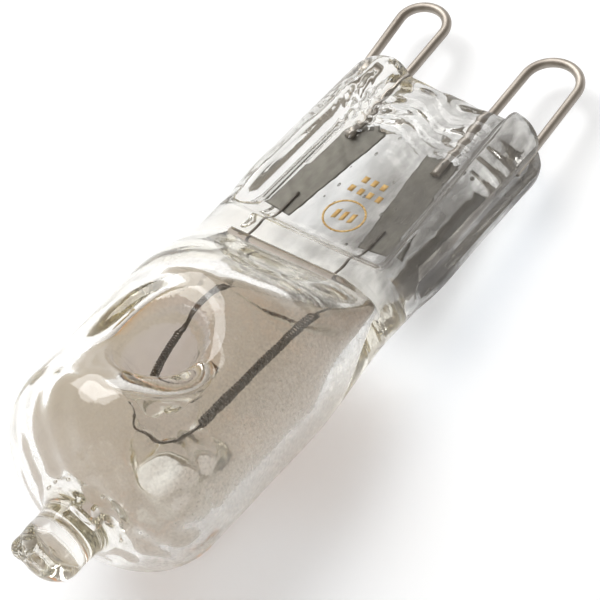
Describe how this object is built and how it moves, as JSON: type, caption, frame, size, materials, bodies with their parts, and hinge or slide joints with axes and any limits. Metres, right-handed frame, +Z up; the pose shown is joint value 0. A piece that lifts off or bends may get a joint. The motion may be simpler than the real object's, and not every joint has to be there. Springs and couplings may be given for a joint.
{
  "type": "halogen capsule bulb",
  "caption": "Small clear quartz lamp: a round bulb pressed flat at one end round looped pins, with sealing foils and a coiled filament hooked on a glass post.",
  "frame": {"origin": "centre of the bounding box, on the surface that the lamp lies on", "axes": "+Z up from the surface; +Y along the lamp from the exhaust tip to the looped pins, which point a little down as the lamp lies on its shoulder and the end of its seal; +X to the right pin"},
  "size_m": [0.014, 0.0454, 0.0152],
  "materials": {
    "quartz": "clear fire-polished",
    "pin_metal": "dull drawn wire",
    "foil_metal": "matte grey foil",
    "filament_metal": "dark drawn wire",
    "print": "ochre ink mark"
  },
  "bodies": {
    "root": {"quartz_envelope": "quartz", "looped_pin_left": "pin_metal", "looped_pin_right": "pin_metal", "sealing_foil_left": "foil_metal", "sealing_foil_right": "foil_metal", "filament": "filament_metal"}
  },
  "joints": []
}
